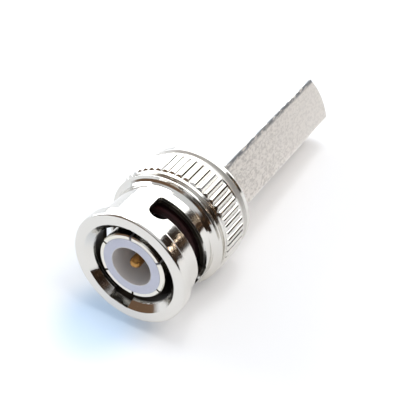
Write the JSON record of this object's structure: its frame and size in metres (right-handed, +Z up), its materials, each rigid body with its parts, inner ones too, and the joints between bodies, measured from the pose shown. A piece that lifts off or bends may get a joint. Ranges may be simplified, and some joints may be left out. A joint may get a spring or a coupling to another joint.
{
  "type": "bnc coaxial plug",
  "caption": "Twist-on coaxial plug with a knurled bayonet nut, slotted contact, centre pin and hexagonal barrel.",
  "frame": {"origin": "bottom centre of the bounding box, on the surface the plug lies on", "axes": "-Y towards the mating face, +Y towards the cable end, +Z up as it lies on the nut and the barrel's end"},
  "size_m": [0.0144, 0.0392, 0.0152],
  "materials": {
    "nut_nickel": "bright nickel plate on die-cast zinc",
    "barrel_nickel": "satin nickel plate on rough die-cast zinc",
    "contact_nickel": "bright nickel plate on turned brass",
    "insulator_white": "moulded white acetal, semi-gloss",
    "pin_gold": "gold flash on turned brass",
    "gasket_silicone": "dark red silicone rubber, matt",
    "spring_steel": "rolled spring steel"
  },
  "bodies": {
    "body": {"hex_barrel": "barrel_nickel", "outer_contact": "contact_nickel", "front_insulator": "insulator_white", "rear_insulator": "insulator_white", "centre_pin": "pin_gold", "gasket": "gasket_silicone", "front_spring_washer": "spring_steel", "middle_washer": "spring_steel", "rear_spring_washer": "spring_steel"},
    "carrier": {"thrust_washer": "spring_steel"},
    "nut": {"coupling_nut": "nut_nickel"}
  },
  "joints": [
    {"name": "nut_pull", "type": "slide", "parent": "body", "child": "carrier", "axis": [0, -0.9955, 0.0953], "range_m": [0, 0.0005], "stiffness_N_per_m": 2000, "springref_m": -0.0005},
    {"name": "nut_turn", "type": "hinge", "parent": "carrier", "child": "nut", "pos_m": [0, -0.01204, 0.00765], "axis": [0, 0.9955, -0.0953], "continuous": true}
  ]
}
